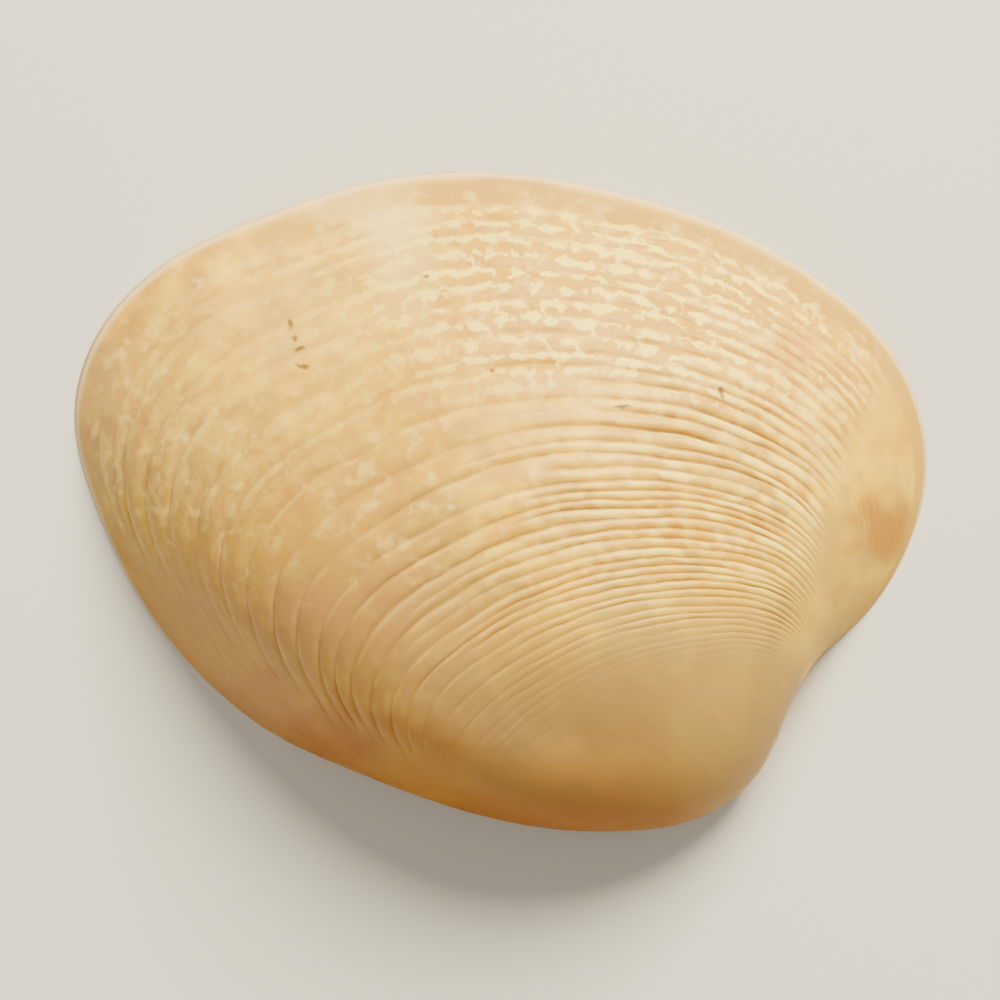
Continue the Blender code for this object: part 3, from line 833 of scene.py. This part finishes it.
def build_valve():
    """The valve's mesh: outside, rounded edge, rim, hollow and two caps, with the fields its colours use."""
    margin, reach, around = margin_columns()
    turn = 2 * pi * reach / around
    ring = np.column_stack([np.cos(turn), np.sin(turn)]) * around / (2 * pi)
    outer, sizes, ridge_numbers, grooves, worn, from_edge = outside(margin, ring)
    inner, marks = inside(margin)
    # The sharp corner of the margin is drawn in a little, so that the edge is rounded.
    inwards = np.column_stack([np.array(HOLLOW_CENTRE_MM) - margin, np.zeros(COLUMNS)])
    inwards /= np.linalg.norm(inwards, axis=1, keepdims=True)
    drawn_in = EDGE_ROUNDING_MM * EDGE_DRAWN_IN
    outer[0] += inwards * drawn_in + np.array([0, 0, drawn_in])
    points = np.vstack([outer.reshape(-1, 3), inner.reshape(-1, 3)])
    count = len(points)
    if count * 2 > MOST_TRIANGLES:
        raise RuntimeError(f"the valve has too many triangles: {count * 2}")
    outer_faces, other_faces = valve_faces(len(outer))
    mesh = bpy.data.meshes.new("valve_shell")
    mesh.from_pydata((points * MM).tolist(), [], outer_faces + other_faces)
    mesh.update()
    obj = bpy.data.objects.new("valve_shell", mesh)
    bpy.context.scene.collection.objects.link(obj)
    none = np.zeros(inner[..., 0].size)
    fields = fleck_fields(outer[..., 0], outer[..., 1], sizes, grooves, worn, from_edge)
    for name, values in fields.items():
        add_field(mesh, name, "FLOAT", "value", np.concatenate([values.ravel(), none]))
    outer_tint = tint_outside(outer, sizes, ridge_numbers, ring, grooves, worn, from_edge)
    tint = np.vstack([outer_tint.reshape(-1, 3), tint_inside(inner, marks).reshape(-1, 3)])
    add_field(mesh, "tint", "FLOAT_COLOR", "color", np.column_stack([tint, np.ones(count)]))
    # Growth coordinates: a place on a circle as long as the margin, in mm, and the number of the ridge.
    levels = np.concatenate([ridge_numbers.ravel(), np.repeat(-2.0 - np.arange(INNER_RINGS), COLUMNS)])
    growth = np.column_stack([np.tile(ring, (len(outer) + INNER_RINGS, 1)), levels])
    add_field(mesh, "growth", "FLOAT_VECTOR", "vector", growth)
    # The cap of the beak is the first of the other faces, and belongs to the outside.
    slots = np.zeros(len(outer_faces) + len(other_faces), np.int32)
    slots[len(outer_faces) + 1:] = 1
    mesh.polygons.foreach_set("material_index", slots)
    mesh.shade_smooth()
    return obj


# The shell as a material: light goes a little way into it, further in red than in blue.
SHELL_IOR = 1.53
SHELL_SPECULAR = 0.22
SUBSURFACE_WEIGHT = 0.12
SUBSURFACE_RADIUS = (1.0, 0.6, 0.35)
SUBSURFACE_MM = 0.9
OUTSIDE_ROUGHNESS = 0.45
INSIDE_ROUGHNESS = 0.34
# The outside's roughness is made of a least value and a share of the stirring noise.
LEAST_ROUGHNESS = 0.30
ROUGHNESS_FROM_NOISE = 0.25
# The stirring noise has this many cells to a metre. It moves growth coordinates by up to half of the others.
STIR_SCALE = 1000.0
STIR = (1.5, 1.5, 0.7)
# Flecks are the peaks of a noise, between these levels. The rows that raise them are this high, and the place
# of a row is a share of the way from groove to groove.
FLECK_SCALE = (1.1, 1.1, 1.5)
FLECK_ROUGHNESS = 0.5
FLECK_LEVELS = (0.49, 0.62)
FLECK_ROW_HEIGHT = 0.10
FLECK_ROW_PLACE = 0.4
SPECK_LEVELS = (0.52, 0.74)
PIT_RAGGED_MM = 0.8
PIT_SOFTNESS = 0.5
PIT_STRENGTH = 0.8
# Fine growth lines on the outside and fine grain on the inside: the noise's scale, strength and height.
STRIAE_SCALE = (0.35, 0.35, 6.5)
STRIAE_STRENGTH = 0.3
STRIAE_MM = 0.04
INSIDE_GRAIN_SCALE = 1500.0
INSIDE_GRAIN_STRENGTH = 0.2
INSIDE_GRAIN_MM = 0.03
FINE_DETAIL = 2.0
FINE_ROUGHNESS = 0.6


class Nodes:
    """Short calls that add shader nodes and link them."""

    def __init__(self, material):
        self.tree = material.node_tree
        self.shader = self.tree.nodes["Principled BSDF"]

    def add(self, kind, values=(), **settings):
        """A node of one kind. values has its inputs, by name or number: outputs of nodes, or plain values."""
        node = self.tree.nodes.new(kind)
        for name, value in settings.items():
            setattr(node, name, value)
        for name, value in dict(values).items():
            self.put(node.inputs[name], value)
        return node

    def put(self, socket, value):
        if isinstance(value, bpy.types.NodeSocket):
            self.tree.links.new(value, socket)
        else:
            socket.default_value = value

    def math(self, operation, *values):
        return self.add("ShaderNodeMath", enumerate(values), operation=operation).outputs[0]

    def vector(self, operation, *values):
        node = self.add("ShaderNodeVectorMath", enumerate(values), operation=operation)
        return node.outputs["Value" if operation == "LENGTH" else "Vector"]

    def between(self, value, low, high):
        """0 at low and 1 at high, smoothly."""
        inputs = {0: value, 1: low, 2: high, 3: 0.0, 4: 1.0}
        return self.add("ShaderNodeMapRange", inputs, interpolation_type="SMOOTHSTEP").outputs[0]

    def noise(self, place, scale, detail, roughness):
        inputs = {"Vector": place, "Scale": scale, "Detail": detail, "Roughness": roughness}
        return self.add("ShaderNodeTexNoise", inputs)

    def mix(self, share, first, second):
        node = self.tree.nodes.new("ShaderNodeMix")
        node.data_type = "RGBA"
        for socket, value in ((node.inputs[0], share), (node.inputs[6], first), (node.inputs[7], second)):
            self.put(socket, value)
        return node.outputs[2]

    def field(self, name, kind="Fac"):
        return self.add("ShaderNodeAttribute", attribute_name=name).outputs[kind]

    def bump(self, height, strength, height_mm):
        """Fine relief on the whole material."""
        inputs = {"Height": height, "Strength": strength, "Distance": height_mm * MM}
        self.put(self.shader.inputs["Normal"], self.add("ShaderNodeBump", inputs).outputs[0])

    def spot(self, place, x, y, radius_x, radius_y, softness):
        """1 inside an upright elliptic spot of the plan, and 0 well outside it. Sizes in mm."""
        centred = self.vector("SUBTRACT", place, (x * MM, y * MM, 0.0))
        scaled = self.vector("MULTIPLY", centred, (1 / (radius_x * MM), 1 / (radius_y * MM), 0.0))
        return self.between(self.vector("LENGTH", scaled), 1.0 + softness, 1.0 - softness)


def new_material(name, roughness):
    """A material of shell, and its nodes."""
    material = bpy.data.materials.new(name)
    material.use_nodes = True
    nodes = Nodes(material)
    inputs = nodes.shader.inputs
    inputs["Metallic"].default_value = 0.0
    inputs["Roughness"].default_value = roughness
    inputs["Subsurface Weight"].default_value = SUBSURFACE_WEIGHT
    inputs["Subsurface Radius"].default_value = SUBSURFACE_RADIUS
    inputs["Subsurface Scale"].default_value = SUBSURFACE_MM * MM
    inputs["IOR"].default_value = SHELL_IOR
    inputs["Specular IOR Level"].default_value = SHELL_SPECULAR
    return material, nodes


def outside_material():
    """Worn shell: the mesh's tint with its painted light and shade, cream flecks in rows, fine specks, pits
    and fine growth lines.
    """
    material, n = new_material("shell_outside", OUTSIDE_ROUGHNESS)
    place = n.add("ShaderNodeTexCoord").outputs["Object"]
    growth = n.field("growth", "Vector")
    stir = n.noise(place, STIR_SCALE, FINE_DETAIL, FINE_ROUGHNESS)
    centred = n.vector("SUBTRACT", stir.outputs[1], (0.5, 0.5, 0.5))
    stirred = n.vector("ADD", growth, n.vector("MULTIPLY", centred, STIR))
    # Flecks are the peaks of a noise drawn out along the ridges, raised in rows of one to a ridge.
    run = n.noise(n.vector("MULTIPLY", stirred, FLECK_SCALE), 1.0, FINE_DETAIL, FLECK_ROUGHNESS).outputs[0]
    level = n.add("ShaderNodeSeparateXYZ", {0: stirred}).outputs[2]
    rows = n.math("COSINE", n.math("MULTIPLY", n.math("SUBTRACT", level, FLECK_ROW_PLACE), 2 * pi))
    peak = n.math("ADD", run, n.math("MULTIPLY", rows, FLECK_ROW_HEIGHT))
    fleck = n.math("MULTIPLY", n.between(peak, *FLECK_LEVELS), n.field("flecked"))
    colour = n.mix(fleck, n.field("tint", "Color"), (*FLECK_AND_DASH_HIGHLIGHT, 1.0))
    speckle = n.math("MULTIPLY", n.between(stir.outputs[0], *SPECK_LEVELS), n.field("speckled"))
    colour = n.mix(speckle, colour, (*SPECK_AND_LIP_HIGHLIGHT, 1.0))
    ragged = n.vector("MULTIPLY", centred, (PIT_RAGGED_MM * MM, PIT_RAGGED_MM * MM, 0.0))
    ragged = n.vector("ADD", place, ragged)
    pits = 0.0
    for pit in PITS_MM:
        pits = n.math("MAXIMUM", pits, n.spot(ragged, *pit, PIT_SOFTNESS))
    colour = n.mix(n.math("MULTIPLY", pits, PIT_STRENGTH), colour, (*DARK_PIT, 1.0))
    n.put(n.shader.inputs["Base Color"], colour)
    rough = n.math("MULTIPLY", stir.outputs[0], ROUGHNESS_FROM_NOISE)
    rough = n.math("ADD", rough, LEAST_ROUGHNESS)
    n.put(n.shader.inputs["Roughness"], n.math("ADD", rough, n.field("dull")))
    striae = n.noise(n.vector("MULTIPLY", growth, STRIAE_SCALE), 1.0, FINE_DETAIL, FINE_ROUGHNESS)
    n.bump(striae.outputs[0], STRIAE_STRENGTH, STRIAE_MM)
    return material


def inside_material():
    """The hollow, rim and hinge: smooth porcelain with the mesh's own tint."""
    material, n = new_material("shell_inside", INSIDE_ROUGHNESS)
    n.put(n.shader.inputs["Base Color"], n.field("tint", "Color"))
    place = n.add("ShaderNodeTexCoord").outputs["Object"]
    grain = n.noise(place, INSIDE_GRAIN_SCALE, FINE_DETAIL, FINE_ROUGHNESS)
    n.bump(grain.outputs[0], INSIDE_GRAIN_STRENGTH, INSIDE_GRAIN_MM)
    return material


FLOOR_SIZE = 4.0
FLOOR_DROP_MM = 0.02
FLOOR_WHITE = linear(218, 216, 211)
FLOOR_ROUGHNESS = 0.9
# Each light: its name, its place and size in m, its power in W and its colour.
LIGHTS = (
    ("key", (0.16, 0.38, 0.33), 0.32, 11.0, (1.0, 0.92, 0.64)),
    ("fill", (-0.16, -0.36, 0.34), 0.35, 0.8, (1.0, 0.95, 0.82)),
)
SURROUND = (1.0, 0.95, 0.84, 1.0)
SURROUND_STRENGTH = 0.35


def add_floor():
    """A plain pale floor, a hair below the rim."""
    bpy.ops.mesh.primitive_plane_add(size=FLOOR_SIZE, location=(0, 0, -FLOOR_DROP_MM * MM))
    floor = bpy.context.object
    floor.name = "floor"
    material = bpy.data.materials.new("floor")
    material.use_nodes = True
    shader = material.node_tree.nodes["Principled BSDF"]
    shader.inputs["Base Color"].default_value = (*FLOOR_WHITE, 1.0)
    shader.inputs["Roughness"].default_value = FLOOR_ROUGHNESS
    floor.data.materials.append(material)


def add_light(name, place, size, power, colour):
    """A round soft light that is turned to the middle of the rim."""
    data = bpy.data.lights.new(name, "AREA")
    data.shape = "DISK"
    data.size = size
    data.energy = power
    data.color = colour
    light = bpy.data.objects.new(name, data)
    bpy.context.scene.collection.objects.link(light)
    light.location = place
    light.rotation_euler = (-Vector(place)).to_track_quat("-Z", "Y").to_euler()


def add_lights():
    """A soft key from the front ventral side, as in the photograph, a weak fill and a pale surround."""
    for light in LIGHTS:
        add_light(*light)
    world = bpy.data.worlds.new("studio")
    world.use_nodes = True
    background = world.node_tree.nodes["Background"]
    background.inputs["Color"].default_value = SURROUND
    background.inputs["Strength"].default_value = SURROUND_STRENGTH
    bpy.context.scene.world = world


# The photograph looks straight down, ventral side up, and spans this width on the rim's plane.
PHOTO_WIDTH = 52.7 * MM
CAMERA_HEIGHT = 0.6
SENSOR_WIDTH_MM = 36.0
NEAREST_SEEN = 0.01


def add_camera():
    """A long lens above the middle of the rim, which sees what the photograph does."""
    data = bpy.data.cameras.new("camera")
    data.sensor_width = SENSOR_WIDTH_MM
    data.lens = SENSOR_WIDTH_MM * CAMERA_HEIGHT / PHOTO_WIDTH
    data.clip_start = NEAREST_SEEN
    camera = bpy.data.objects.new("camera", data)
    camera.location = (0, 0, CAMERA_HEIGHT)
    bpy.context.scene.collection.objects.link(camera)
    bpy.context.scene.camera = camera


valve = build_valve()
valve.data.materials.append(outside_material())
valve.data.materials.append(inside_material())
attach(valve, "root")
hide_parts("valve")
add_floor()
add_lights()
add_camera()
